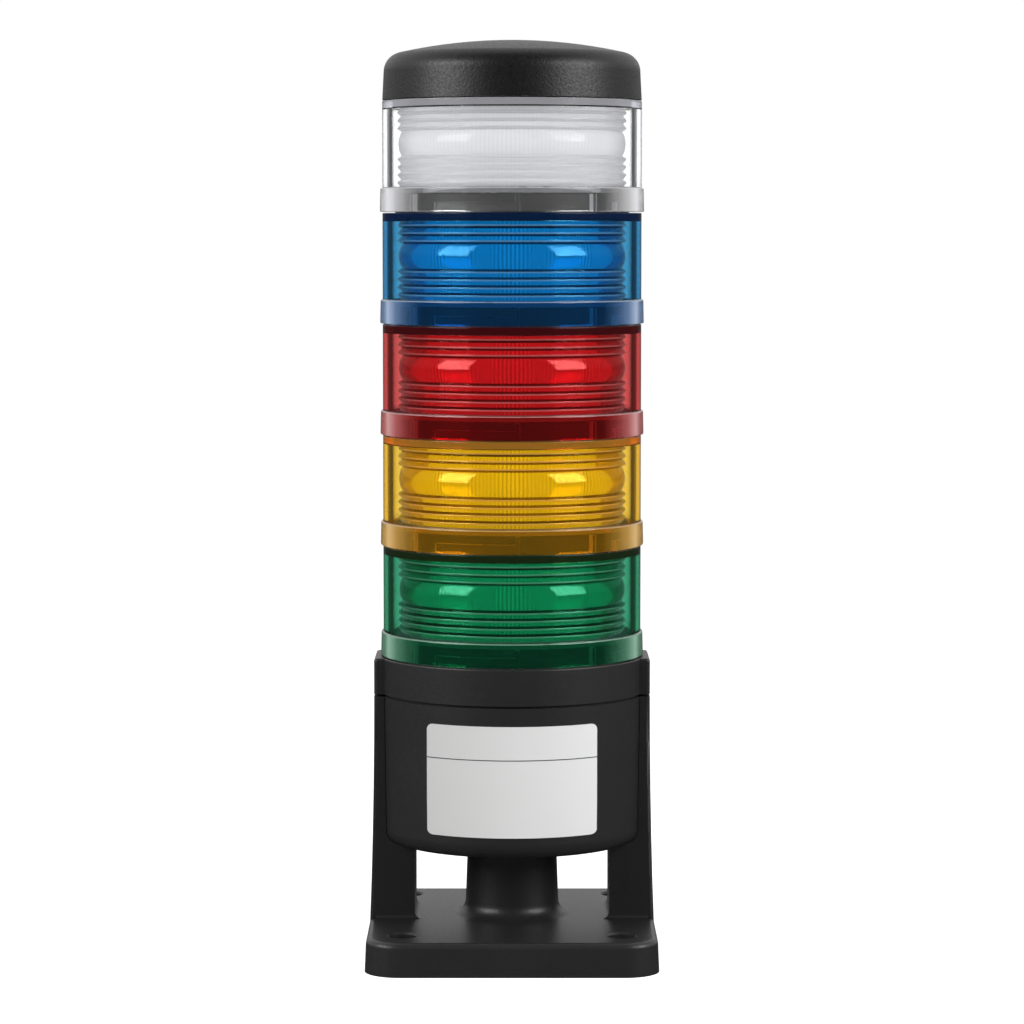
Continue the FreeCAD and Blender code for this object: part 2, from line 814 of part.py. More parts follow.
def led_board():
    """A round circuit board with a circle of light-emitting diodes soldered to it."""
    bottom = plate_top + standoff_height
    top = bottom + board_thickness
    solids = [ring(0, board_radius, bottom, top)]
    for way in range(led_count):
        corner = FreeCAD.Vector(led_circle - led_width / 2, -led_width / 2, top - board_thickness / 2)
        package = Part.makeBox(led_width, led_width, board_thickness / 2 + led_height, corner)
        package.rotate(ORIGIN, AXIS, way * 360.0 / led_count)
        solids.append(package)
    board = joined(solids)
    hole = stake_radius + slip_clearance
    places = standoff_places()
    return board.cut([rod(hole, x, y, bottom - cut_overrun, top + cut_overrun) for x, y in places])


def diffuser():
    """A milky cup that stands over the board with its closed end up."""
    outer = ring(0, diffuser_radius, plate_top, diffuser_top)
    rim = [e for e in outer.Edges if e.BoundBox.ZMin > diffuser_top - 1e-6]
    outer = outer.makeFillet(diffuser_edge_round, rim)
    ceiling = diffuser_top - diffuser_wall
    inner = ring(0, diffuser_radius - diffuser_wall, plate_top, ceiling)
    rim = [e for e in inner.Edges if e.BoundBox.ZMin > ceiling - 1e-6]
    inner = inner.makeFillet(diffuser_edge_round - diffuser_wall, rim)
    return outer.cut(inner)


def socket_ring():
    """The black neck on top of a module, located in the hole of the lens flange."""
    boss = ring(0, flange_hole_radius - seat_clearance, flange_bottom, module_pitch + deck_thickness / 2)
    return joined([neck_cup(module_pitch), boss])


# Cap: a domed cover that twists onto the top neck


def cap_section(foot, shoulder, top, edge_round, dome):
    """The outline of the cap from its foot over its rounded shoulder to the axis."""
    dome_centre = point(0, top - dome)
    across = shoulder - edge_round
    reach = dome - edge_round
    centre = dome_centre + point(across, math.sqrt(reach**2 - across**2))
    start = centre + point(edge_round, 0)
    end = dome_centre + (centre - dome_centre) * (dome / reach)
    lean = math.asin(across / reach)
    half_lean = dome_centre + point(dome * math.sin(lean / 2), dome * math.cos(lean / 2))
    return [
        line(point(foot, 0), start),
        corner_arc(start, end, centre, edge_round),
        arc(end, half_lean, point(0, top)),
        line(point(0, top), ORIGIN),
        line(ORIGIN, point(foot, 0)),
    ]


def top_cap():
    form = turned(cap_section(cap_foot_radius, cap_top_radius, cap_height, cap_edge_round, cap_dome_radius))
    hollow = turned(
        cap_section(
            bayonet_bore,
            bayonet_bore,
            cap_height - cap_wall,
            cap_edge_round - cap_wall,
            cap_dome_radius - cap_wall,
        )
    )
    below = rod(cap_foot_radius + cut_overrun, 0, 0, -cut_overrun, tier_gap)
    shell = form.cut([hollow, below])
    rib_middle = neck_radius - neck_wall / 2
    rib = ring(rib_middle - cap_rib_wall / 2, rib_middle + cap_rib_wall / 2, plate_bottom, cap_height)
    root = (bayonet_bore + cap_top_radius) / 2
    return joined([shell, rib.common(form)] + bayonet_ramps(0, root))


def pieces():
    """Every piece in its place, by node name."""
    made = {
        "foot_stand": foot_stand(),
        "wiring_housing": wiring_housing(),
        "housing_screws": housing_screws(),
        "housing_gasket": housing_gasket(),
        "rating_label": rating_label(),
        "terminal_block": terminal_block(),
        "terminal_screws": terminal_screws(),
        "socket_collar": socket_collar(),
        "collar_screws": collar_screws(),
        "base_contact_tracks": contact_tracks(collar_top),
        "base_seal_ring": seal_ring(collar_top),
        "top_cap": lifted(top_cap(), cap_bottom),
    }
    module = {
        "outer_lens": outer_lens(),
        "inner_lens": inner_lens(),
        "diffuser": diffuser(),
        "led_board": led_board(),
        "contact_plate": contact_plate(),
        "contact_pins": contact_pins(),
        "socket_ring": socket_ring(),
        "contact_tracks": contact_tracks(module_pitch),
        "seal_ring": seal_ring(module_pitch),
    }
    for tier, colour in enumerate(module_colours):
        for name, shape in module.items():
            made[f"{colour}_{name}"] = lifted(shape, collar_top + tier * module_pitch)
    return made


os.makedirs("parts", exist_ok=True)
for node, shape in pieces().items():
    shape.exportStep(os.path.join("parts", node + ".step"))
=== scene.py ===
import bmesh
import bpy
import math
from mathutils import Matrix


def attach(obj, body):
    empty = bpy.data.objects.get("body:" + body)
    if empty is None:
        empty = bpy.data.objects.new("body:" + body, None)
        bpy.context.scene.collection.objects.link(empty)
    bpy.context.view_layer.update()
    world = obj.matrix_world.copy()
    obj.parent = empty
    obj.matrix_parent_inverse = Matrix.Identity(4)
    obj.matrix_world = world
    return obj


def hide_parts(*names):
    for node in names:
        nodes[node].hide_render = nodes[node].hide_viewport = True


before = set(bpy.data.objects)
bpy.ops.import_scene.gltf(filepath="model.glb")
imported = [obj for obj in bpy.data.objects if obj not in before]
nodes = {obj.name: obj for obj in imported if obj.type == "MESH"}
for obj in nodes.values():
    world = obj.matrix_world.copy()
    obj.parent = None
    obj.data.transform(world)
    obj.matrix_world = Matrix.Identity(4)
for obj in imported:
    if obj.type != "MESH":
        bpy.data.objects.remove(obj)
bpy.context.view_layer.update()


# Stand: foot plate, hollow cable post and two legs, one injection moulding in black PC/ABS.
# The mould was spark-eroded, so the skin is a fine even grain that spreads every highlight.
# Four screws through the foot hold it to a machine.
MM = 0.001


def linear(code):
    """An sRGB hex colour as linear red, green, blue and alpha."""
    values = [int(code[i : i + 2], 16) / 255 for i in (1, 3, 5)]
    return tuple(v / 12.92 if v <= 0.04045 else ((v + 0.055) / 1.055) ** 2.4 for v in values) + (1.0,)


def add_node(tree, kind, inputs=None, **settings):
    """A new node with its settings; each input is a plain value or the socket that feeds it."""
    node = tree.nodes.new(kind)
    for name, value in settings.items():
        setattr(node, name, value)
    for name, value in (inputs or {}).items():
        if isinstance(value, bpy.types.NodeSocket):
            tree.links.new(value, node.inputs[name])
        else:
            node.inputs[name].default_value = value
    return node


def new_material(name):
    """A material with nothing in it but its output; gives the material, its tree and the output."""
    material = bpy.data.materials.new(name)
    material.use_nodes = True
    material.node_tree.nodes.clear()
    return material, material.node_tree, add_node(material.node_tree, "ShaderNodeOutputMaterial")


def moulded_black(name, dark, light, grain, depth, roughness):
    """Black PC/ABS from an eroded mould: grain and depth in mm, the colour drifting a little.

    A grain under about half a millimetre is too fine to show in the render, so it is drawn that coarse.
    """
    drift_width = 14
    rough_spread = 0.06
    material, tree, output = new_material(name)
    place = add_node(tree, "ShaderNodeTexCoord").outputs["Object"]
    drift = add_node(
        tree,
        "ShaderNodeTexNoise",
        {"Vector": place, "Scale": 1 / (drift_width * MM), "Detail": 2.0},
    )
    pits = add_node(tree, "ShaderNodeTexNoise", {"Vector": place, "Scale": 1 / (grain * MM), "Detail": 1.5})
    colour = add_node(tree, "ShaderNodeMix", {"Factor": drift.outputs["Fac"]}, data_type="RGBA")
    colour.inputs["A"].default_value = linear(dark)
    colour.inputs["B"].default_value = linear(light)
    rough = add_node(
        tree,
        "ShaderNodeMapRange",
        {"Value": pits.outputs["Fac"], "From Min": 0.3, "From Max": 0.7},
    )
    rough.inputs["To Min"].default_value = roughness - rough_spread
    rough.inputs["To Max"].default_value = roughness + rough_spread
    bump = add_node(tree, "ShaderNodeBump", {"Height": pits.outputs["Fac"], "Distance": depth * MM})
    shader = add_node(
        tree,
        "ShaderNodeBsdfPrincipled",
        {
            "Base Color": colour.outputs["Result"],
            "Roughness": rough.outputs["Result"],
            "Normal": bump.outputs["Normal"],
            "IOR": 1.5,
        },
    )
    tree.links.new(shader.outputs["BSDF"], output.inputs["Surface"])
    return material


def dress(material, *names):
    """Gives CAD nodes a finish."""
    for name in names:
        nodes[name].data.materials.clear()
        nodes[name].data.materials.append(material)


stand_black = moulded_black(
    "black_pc_abs_fine_grain", "#222223", "#282728", grain=0.45, depth=0.025, roughness=0.39
)
dress(stand_black, "foot_stand")


# Wiring housing: a round cup in the same black PC/ABS, dropped between the legs.
# Two self-tapping screws fix its floor to the legs, and a screw terminal strip stands inside.
# Nothing of the inside shows while the collar is on.
dress(stand_black, "wiring_housing")

# Terminal strip in moulded grey polyamide: dull, with faint clouds where the filler gathered.
cloud_width = 3
terminal_grey, tree, output = new_material("grey_polyamide_moulded")
place = add_node(tree, "ShaderNodeTexCoord").outputs["Object"]
cloud = add_node(
    tree,
    "ShaderNodeTexNoise",
    {"Vector": place, "Scale": 1 / (cloud_width * MM), "Detail": 3.0},
)
shade = add_node(tree, "ShaderNodeMix", {"Factor": cloud.outputs["Fac"]}, data_type="RGBA")
shade.inputs["A"].default_value = linear("#8d9090")
shade.inputs["B"].default_value = linear("#999c9b")
shader = add_node(
    tree,
    "ShaderNodeBsdfPrincipled",
    {"Base Color": shade.outputs["Result"], "Roughness": 0.5, "IOR": 1.53},
)
tree.links.new(shader.outputs["BSDF"], output.inputs["Surface"])
dress(terminal_grey, "terminal_block")

# Zinc-plated steel screws: bright, slightly blue, with a fine streak from the rolling of the thread.
streak_width = 0.4
zinc_steel, tree, output = new_material("zinc_plated_steel")
place = add_node(tree, "ShaderNodeTexCoord").outputs["Object"]
streak = add_node(
    tree,
    "ShaderNodeTexNoise",
    {"Vector": place, "Scale": 1 / (streak_width * MM), "Detail": 2.0},
)
rough = add_node(
    tree,
    "ShaderNodeMapRange",
    {"Value": streak.outputs["Fac"], "To Min": 0.22, "To Max": 0.40},
)
shader = add_node(
    tree,
    "ShaderNodeBsdfPrincipled",
    {"Base Color": linear("#c3c7cb"), "Metallic": 1.0, "Roughness": rough.outputs["Result"]},
)
tree.links.new(shader.outputs["BSDF"], output.inputs["Surface"])
dress(zinc_steel, "housing_screws", "collar_screws")

# Turned and stamped brass for every contact: yellow, with a soft tarnish in patches.
patch_width = 2.5
contact_brass, tree, output = new_material("brass_stamped_and_turned")
place = add_node(tree, "ShaderNodeTexCoord").outputs["Object"]
patch = add_node(
    tree,
    "ShaderNodeTexNoise",
    {"Vector": place, "Scale": 1 / (patch_width * MM), "Detail": 3.0},
)
tarnish = add_node(tree, "ShaderNodeMix", {"Factor": patch.outputs["Fac"]}, data_type="RGBA")
tarnish.inputs["A"].default_value = linear("#cda75e")
tarnish.inputs["B"].default_value = linear("#b98f48")
shader = add_node(
    tree,
    "ShaderNodeBsdfPrincipled",
    {"Base Color": tarnish.outputs["Result"], "Metallic": 1.0, "Roughness": 0.3},
)
tree.links.new(shader.outputs["BSDF"], output.inputs["Surface"])
dress(contact_brass, "terminal_screws")


# Rating label: a thin polyester film with a satin silver-white face, stuck to the front of the housing.
# It is bare but for the plain line that parts its head from its body.
# Its face is painted a little brighter towards the right, as in the photo: painted light where the light
# crosses the bent film.
label_film, tree, output = new_material("satin_polyester_film")
label_half = 22
line_height = 55.9
line_width = 0.28
fibre_width = 0.5
place = add_node(tree, "ShaderNodeTexCoord").outputs["Object"]
split = add_node(tree, "ShaderNodeSeparateXYZ", {"Vector": place})
painted_light_across = add_node(
    tree,
    "ShaderNodeMapRange",
    {"Value": split.outputs["X"], "From Min": -label_half * MM, "From Max": label_half * MM},
)
# Painted light: the face runs from a darker left to a lighter right.
face = add_node(tree, "ShaderNodeMix", {"Factor": painted_light_across.outputs["Result"]}, data_type="RGBA")
face.inputs["A"].default_value = linear("#cdcdcc")
face.inputs["B"].default_value = linear("#eeefee")
off_line = add_node(
    tree,
    "ShaderNodeMath",
    {0: split.outputs["Z"], 1: line_height * MM},
    operation="SUBTRACT",
)
distance = add_node(tree, "ShaderNodeMath", {0: off_line.outputs[0]}, operation="ABSOLUTE")
on_line = add_node(
    tree,
    "ShaderNodeMath",
    {0: distance.outputs[0], 1: line_width / 2 * MM},
    operation="LESS_THAN",
)
ink = add_node(tree, "ShaderNodeMix", {"Factor": on_line.outputs[0]}, data_type="RGBA")
tree.links.new(face.outputs["Result"], ink.inputs["A"])
ink.inputs["B"].default_value = linear("#4a4d52")
fibre = add_node(
    tree,
    "ShaderNodeTexNoise",
    {"Vector": place, "Scale": 1 / (fibre_width * MM), "Detail": 2.0},
)
film_rough = add_node(
    tree,
    "ShaderNodeMapRange",
    {"Value": fibre.outputs["Fac"], "To Min": 0.30, "To Max": 0.42},
)
shader = add_node(
    tree,
    "ShaderNodeBsdfPrincipled",
    {"Base Color": ink.outputs["Result"], "Roughness": film_rough.outputs["Result"], "IOR": 1.57},
)
tree.links.new(shader.outputs["BSDF"], output.inputs["Surface"])
dress(label_film, "rating_label")


# Housing gasket and seal rings: moulded black rubber, pressed flat where two mouldings meet.
# Rubber is duller and a touch darker than the plastic, with talc left in its pores.
pore_width = 0.8
seal_rubber, tree, output = new_material("black_nitrile_rubber_moulded")
place = add_node(tree, "ShaderNodeTexCoord").outputs["Object"]
talc = add_node(
    tree,
    "ShaderNodeTexNoise",
    {"Vector": place, "Scale": 1 / (pore_width * MM), "Detail": 3.0},
)
tone = add_node(tree, "ShaderNodeMix", {"Factor": talc.outputs["Fac"]}, data_type="RGBA")
tone.inputs["A"].default_value = linear("#111112")
tone.inputs["B"].default_value = linear("#1a1a1b")
shader = add_node(
    tree,
    "ShaderNodeBsdfPrincipled",
    {"Base Color": tone.outputs["Result"], "Roughness": 0.75, "IOR": 1.52},
)
tree.links.new(shader.outputs["BSDF"], output.inputs["Surface"])
dress(seal_rubber, "housing_gasket", "base_seal_ring")


# Socket collar: black PC/ABS ring with an ear over each leg, held to the housing by three screws.
# Its neck carries the first bayonet, and brass ring tracks lie on its deck.
dress(stand_black, "socket_collar")
dress(contact_brass, "base_contact_tracks")


# Light modules, five of the same form from the bottom up: green, amber, red, blue and clear.
# Each has a transparent polycarbonate tube with a wider bayonet ring at its foot and a flange at its top.
# The tube is moulded in one with four ramps, their stops and the guides of the entry slots.
colours = ("green", "amber", "red", "blue", "clear")
first_tier = 80.0
tier_pitch = 30.0
ring_bore = 33.3
ring_foot = 0.3
ring_foot_radius = 35.7
ring_top_radius = 35.55
ring_top = 6.7
ring_round = 0.35
cone_foot = 5.2
cone_top = 6.8
tube_radius = 35.0
tube_bore = 32.4
tube_round = 0.3
rim_foot = 28.1
flange_hole = 28.0
flange_underside = 28.0
flange_top = 30.0
flange_round = 0.2
round_steps = 4
tube_sides = 360
ramp_bore = 31.9
ramp_top = 2.8
stop_top = 4.9
bayonets = 4
ramp_turn = (-36.5, 1.5)
stop_turn = (1.5, 3.5)
guide_turn = (-51.5, -49.5)
at_wall = 0.1


def outline(bm, corners, last=None):
    """Corner after corner of a section (radius and height in mm), each joined to the one before."""
    verts = [last] if last else []
    for radius, height in corners:
        verts.append(bm.verts.new((radius * MM, 0, height * MM)))
    for a, b in zip(verts, verts[1:]):
        bm.edges.new((a, b))
    return verts


def rounded(bm, verts, radius, segments):
    """Rounds corners of a section that isn't spun yet."""
    bmesh.ops.bevel(
        bm,
        geom=verts,
        offset=radius * MM,
        offset_type="OFFSET",
        segments=segments,
        profile=0.5,
        affect="VERTICES",
        material=-1,
    )


def turned(bm, steps, start):
    """Spins a closed section once round the tower's axis; the start is counted from the front."""
    to_start = Matrix.Rotation(math.radians(start - 90), 3, "Z")
    bmesh.ops.rotate(bm, verts=bm.verts[:], cent=(0, 0, 0), matrix=to_start)
    bmesh.ops.spin(
        bm,
        geom=bm.verts[:] + bm.edges[:],
        cent=(0, 0, 0),
        axis=(0, 0, 1),
        angle=math.tau,
        steps=steps,
        use_merge=True,
        use_duplicate=False,
    )
    bmesh.ops.recalc_face_normals(bm, faces=bm.faces[:])


def turn_of(face):
    """Where a face lies round the axis, in degrees from the front towards +X."""
    middle = face.calc_center_median()
    return math.degrees(math.atan2(middle.x, -middle.y))


def within(turn, span):
    """True where a turn lies in a span that repeats at every bayonet."""
    step = 360 / bayonets
    return (turn - span[0]) % step < span[1] - span[0]


tube = bmesh.new()
corners = outline(
    tube,
    [
        (ring_bore, ring_foot),
        (ring_foot_radius, ring_foot),
        (ring_top_radius, ring_top),
        (tube_radius, ring_top),
        (tube_radius, rim_foot),
        (tube_radius, flange_top),
        (flange_hole, flange_top),
        (flange_hole, flange_underside),
        (tube_bore, flange_underside),
        (tube_bore, cone_top),
        (ring_bore, cone_foot),
        (ring_bore, stop_top),
        (ring_bore, ramp_top),
    ],
)
tube.edges.new((corners[-1], corners[0]))
rounded(tube, corners[1:3], ring_round, round_steps)
rounded(tube, [corners[3], corners[5]], flange_round, round_steps)
rounded(tube, [corners[8]], tube_round, round_steps)
turned(tube, tube_sides, 180 / tube_sides)
inner_wall = []
for face in tube.faces:
    middle = face.calc_center_median()
    off_bore = abs(math.hypot(middle.x, middle.y) - ring_bore * MM)
    if off_bore < at_wall / 2 * MM and middle.z < stop_top * MM:
        turn = turn_of(face)
        tall = within(turn, stop_turn) or within(turn, guide_turn)
        if tall or (middle.z < ramp_top * MM and within(turn, ramp_turn)):
            inner_wall.append(face)
raised = bmesh.ops.extrude_face_region(tube, geom=inner_wall)["geom"]
inward = [v for v in raised if isinstance(v, bmesh.types.BMVert)]
bmesh.ops.scale(tube, vec=(ramp_bore / ring_bore, ramp_bore / ring_bore, 1), verts=inward)
bmesh.ops.recalc_face_normals(tube, faces=tube.faces[:])

# Faces by finish: moulded edges with a painted pale highlight, the ring's wall, the cone above its bore with
# painted pale light, and the rim with painted light and shade.
# They are told apart by where their middles lie, with at_wall as the margin in mm.
edge_faces, ring_faces, cone_faces, rim_faces = 1, 2, 3, 4
for face in tube.faces:
    middle = face.calc_center_median()
    radius = math.hypot(middle.x, middle.y) / MM
    height = middle.z / MM
    if ramp_bore + at_wall < radius < ring_bore - at_wall and height < stop_top + at_wall / 10:
        face.material_index = edge_faces
    elif radius > tube_radius + at_wall and height > ring_top - 2 * at_wall:
        face.material_index = edge_faces
    elif radius > tube_radius + at_wall and height < ring_top - at_wall:
        face.material_index = ring_faces
    elif tube_bore + at_wall < radius < ring_bore - at_wall and cone_foot < height < cone_top:
        face.material_index = cone_faces
    elif radius > tube_radius - at_wall and height > rim_foot:
        face.material_index = rim_faces


def polycarbonate(name, loss, roughness, gloss, tint="#ffffff", haze=0.0, bloom=0.0, bend=1.58):
    """Dyed polycarbonate from a polished mould, with faint waves where the melt flowed.

    The dye soaks up light by depth: its loss is per metre, in red, green and blue. Haze is the share of
    light that the skin scatters in its tint, bloom a pale edge on round parts, and bend the index.
    """
    wave_width = 9
    bloom_spread = 0.28
    polish_spread = 0.4
    material, tree, output = new_material(name)
    place = add_node(tree, "ShaderNodeTexCoord").outputs["Object"]
    flow = add_node(
        tree,
        "ShaderNodeTexNoise",
        {"Vector": place, "Scale": 1 / (wave_width * MM), "Detail": 1.0},
    )
    polish = add_node(tree, "ShaderNodeMapRange", {"Value": flow.outputs["Fac"]})
    polish.inputs["To Min"].default_value = roughness * (1 - polish_spread)
    polish.inputs["To Max"].default_value = roughness * (1 + polish_spread)
    shader = add_node(
        tree,
        "ShaderNodeBsdfPrincipled",
        {
            "Base Color": linear(tint),
            "Roughness": polish.outputs["Result"],
            "IOR": bend,
            "Specular IOR Level": gloss,
            "Transmission Weight": 1 - haze,
            "Sheen Weight": bloom,
            "Sheen Roughness": bloom_spread,
        },
    )
    depth = max(loss)
    dye = add_node(tree, "ShaderNodeVolumeAbsorption")
    dye.inputs["Color"].default_value = tuple(1 - value / depth for value in loss) + (1,)
    dye.inputs["Density"].default_value = depth
    tree.links.new(shader.outputs["BSDF"], output.inputs["Surface"])
    tree.links.new(dye.outputs["Volume"], output.inputs["Volume"])
    return material


tube_dye = {
    "green": (450, 142, 238),
    "amber": (3, 68, 400),
    "red": (54, 350, 355),
    "blue": (440, 168, 80),
    "clear": (10, 9, 7),
}
tube_polish = 0.02
edge_rough = 0.3
edge_haze = 0.5
cone_rough = 0.1
cone_haze = 0.16
rim_rough = 0.1
rim_haze = 0.33
tube_gloss = {"green": 0.5, "amber": 0.5, "red": 0.5, "blue": 0.5, "clear": 0.1}
# Edge tints are pale: a painted highlight on the moulded edges, the prism tips and the rings' ends.
pale_highlight_tint = {"green": "#9cc4ae", "amber": "#e8c488", "red": "#dca8a6", "blue": "#b4c4de", "clear": "#e8e8ec"}
ring_tint = {"green": "#1a9063", "amber": "#e8ae22", "red": "#e02828", "blue": "#2078c0", "clear": "#ffffff"}
ring_haze = {"green": 0.08, "amber": 0.12, "red": 0.08, "blue": 0.08, "clear": 0.04}
# Cone tints are pale: painted light on the cone above the ring's bore.
cone_light_tint = {"green": "#7cc0a0", "amber": "#f4c874", "red": "#e88c88", "blue": "#8fb0dc", "clear": "#e4e4e8"}
# Rim tints are painted light and shade of the flange band: dark where the black neck shows through it,
# lighter in the amber and clear tubes.
rim_light_and_shade_tint = {"green": "#2a4020", "amber": "#e8a036", "red": "#601018", "blue": "#0a3060", "clear": "#e0e0e6"}

# The rings are frosted towards their left and right and tinted pale there as painted light,
# for the pale glassy ends that the photo shows.
# Each mark is a distance from the middle in mm and how strong the frosting and painted light are there.
pale_end_marks = ((24.0, 0.0), (28.0, 0.22), (31.0, 0.5), (33.3, 1.0), (34.4, 0.6), (35.7, 0.55))
pale_end_reach = 36
pale_end_haze = 0.95


def paint_pale_ends(material, plain, pale_light, haze):
    """Frosts a ring's wall along the marks, from its plain tint and haze to a pale tint that is painted
    light.
    """
    tree = material.node_tree
    shader = tree.nodes["Principled BSDF"]
    place = add_node(tree, "ShaderNodeTexCoord").outputs["Object"]
    split = add_node(tree, "ShaderNodeSeparateXYZ", {"Vector": place})
    aside = add_node(tree, "ShaderNodeMath", {0: split.outputs["X"]}, operation="ABSOLUTE")
    share = add_node(tree, "ShaderNodeMapRange", {"Value": aside.outputs[0], "From Max": pale_end_reach * MM})
    pale_end_ramp = add_node(tree, "ShaderNodeValToRGB", {"Fac": share.outputs["Result"]})
    stops = pale_end_ramp.color_ramp.elements
    while len(stops) < len(pale_end_marks):
        stops.new(1.0)
    for stop, (mark, strength) in zip(stops, pale_end_marks):
        stop.position = mark / pale_end_reach
        stop.color = (strength, strength, strength, 1)
    clear = add_node(tree, "ShaderNodeMapRange", {"Value": pale_end_ramp.outputs["Color"]})
    clear.inputs["To Min"].default_value = 1 - haze
    clear.inputs["To Max"].default_value = 1 - pale_end_haze
    tint = add_node(tree, "ShaderNodeMix", {"Factor": pale_end_ramp.outputs["Color"]}, data_type="RGBA")
    tint.inputs["A"].default_value = linear(plain)
    tint.inputs["B"].default_value = linear(pale_light)
    tree.links.new(tint.outputs["Result"], shader.inputs["Base Color"])
    tree.links.new(clear.outputs["Result"], shader.inputs["Transmission Weight"])


def place_in_tier(form, name, tier, materials):
    """A copy of a module's form at its tier, smooth but for its real edges; light reaches through it."""
    sharp_edge = 25
    copy = form.copy()
    bmesh.ops.translate(copy, vec=(0, 0, (first_tier + tier * tier_pitch) * MM), verts=copy.verts[:])
    mesh = bpy.data.meshes.new(name)
    copy.to_mesh(mesh)
    copy.free()
    mesh.shade_smooth()
    mesh.set_sharp_from_angle(angle=math.radians(sharp_edge))
    for material in materials:
        mesh.materials.append(material)
    piece = bpy.data.objects.new(name, mesh)
    bpy.context.scene.collection.objects.link(piece)
    piece.visible_diffuse = False
    piece.visible_shadow = False
    even = piece.modifiers.new("even_walls", "WEIGHTED_NORMAL")
    even.mode = "FACE_AREA"
    even.weight = 100
    even.keep_sharp = True
    return piece


for tier, colour in enumerate(colours):
    loss = tube_dye[colour]
    gloss = tube_gloss[colour]
    pale_highlight = pale_highlight_tint[colour]
    cone_light = cone_light_tint[colour]
    rim_light_and_shade = rim_light_and_shade_tint[colour]
    finishes = [
        polycarbonate(f"polycarbonate_{colour}_tube", loss, tube_polish, gloss),
        polycarbonate(f"polycarbonate_{colour}_edges", loss, edge_rough, gloss, pale_highlight, edge_haze),
        polycarbonate(f"polycarbonate_{colour}_ring", loss, tube_polish, gloss),
        polycarbonate(f"polycarbonate_{colour}_cone", loss, cone_rough, gloss, cone_light, cone_haze),
        polycarbonate(f"polycarbonate_{colour}_rim", loss, rim_rough, gloss, rim_light_and_shade, rim_haze),
    ]
    paint_pale_ends(finishes[ring_faces], ring_tint[colour], pale_highlight, ring_haze[colour])
    piece = place_in_tier(tube, f"{colour}_tube", tier, finishes)
    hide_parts(f"{colour}_outer_lens")
    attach(piece, f"{colour}_module")
tube.free()


# Drum lens inside each tube: a bulged belt between rings of stepped prisms, in the same polycarbonate.
# Fine upright flutes run down its bore, so that the light inside spreads sideways.
# Their light and shade is also painted as faint ribs into the drum's tint, whose skin is a little hazy.
plate_top = 6.82
flange_foot = 27.98
bore = 28.3
peak = 31.1
valley = 30.0
tip_round = 0.4
tip_steps = 5
belt_edge = 29.8
belt_peak = 30.7
belt_half = 3.25
belt_steps = 18
lower_prisms = 4
upper_prisms = 3
prism_pitch = (flange_foot - plate_top - 2 * belt_half) / (lower_prisms + upper_prisms)
prism_step = 0.75
flutes = 170
flute_depth = 0.06

drum = bmesh.new()
lower = [(bore, plate_top)]
height = plate_top
for prism in range(lower_prisms):
    lower += [(valley, height), (peak, height + prism_pitch - prism_step)]
    height += prism_pitch
corners = outline(drum, lower + [(belt_edge, height)])
belt_start = corners[-1]
belt_sag = belt_peak - belt_edge
belt_round = (belt_half**2 + belt_sag**2) / (2 * belt_sag)
belt_swing = 2 * math.asin(belt_half / belt_round)
belt_middle = ((belt_peak - belt_round) * MM, 0, (height + belt_half) * MM)
swept = bmesh.ops.spin(
    drum,
    geom=[belt_start],
    cent=belt_middle,
    axis=(0, -1, 0),
    angle=belt_swing,
    steps=belt_steps,
    use_duplicate=False,
)
belt_end = next(v for v in swept["geom_last"] if isinstance(v, bmesh.types.BMVert))
height += 2 * belt_half
upper = []
for prism in range(upper_prisms):
    upper += [(peak, height + prism_step), (valley, height + prism_pitch)]
    height += prism_pitch
corners += outline(drum, upper + [(bore, flange_foot)], belt_end)
drum.edges.new((corners[-1], corners[0]))
peaks = [v for v in drum.verts if abs(v.co.x - peak * MM) < at_wall / 10 * MM]
rounded(drum, peaks, tip_round, tip_steps)
turned(drum, 2 * flutes, 0)
ridges = []
for vert in drum.verts:
    column = round((math.atan2(vert.co.y, vert.co.x) / math.tau) * 2 * flutes)
    if math.hypot(vert.co.x, vert.co.y) < (bore + at_wall) * MM and column % 2:
        ridges.append(vert)
bmesh.ops.scale(drum, vec=(1 - flute_depth / bore, 1 - flute_depth / bore, 1), verts=ridges)
bmesh.ops.recalc_face_normals(drum, faces=drum.faces[:])

# Faces by finish: the undercut steps of the prisms, dark with painted shade, and their rounded tips, pale
# with a painted highlight.
step_faces, tip_faces = 1, 2
step_slope = (0.7, 0.95)
tip_depth = 0.3
for face in drum.faces:
    middle = face.calc_center_median()
    if step_slope[0] < abs(face.normal.z) < step_slope[1]:
        face.material_index = step_faces
    elif math.hypot(middle.x, middle.y) > (peak - tip_depth) * MM:
        face.material_index = tip_faces

drum_dye = {
    "green": (390, 97, 158),
    "amber": (1, 41, 330),
    "red": (30, 268, 238),
    "blue": (300, 80, 19),
    "clear": (10, 9, 7),
}
drum_polish = 0.03
tip_rough = 0.1
# The tips take the pale edge tint: a painted highlight along each prism.
tip_haze = 0.42
drum_gloss = {"green": 0.5, "amber": 0.15, "red": 0.6, "blue": 0.7, "clear": 0.0}
drum_tint = {"green": "#15b07e", "amber": "#ffe021", "red": "#df2c35", "blue": "#0ca2de", "clear": "#f9f9fc"}
drum_haze = {"green": 0.2, "amber": 0.2, "red": 0.2, "blue": 0.2, "clear": 0.6}
# The clear drum has a lower index than polycarbonate, which keeps its highlights from burning out.
drum_bend = {"green": 1.58, "amber": 1.58, "red": 1.58, "blue": 1.58, "clear": 1.38}
bloom = 0.9
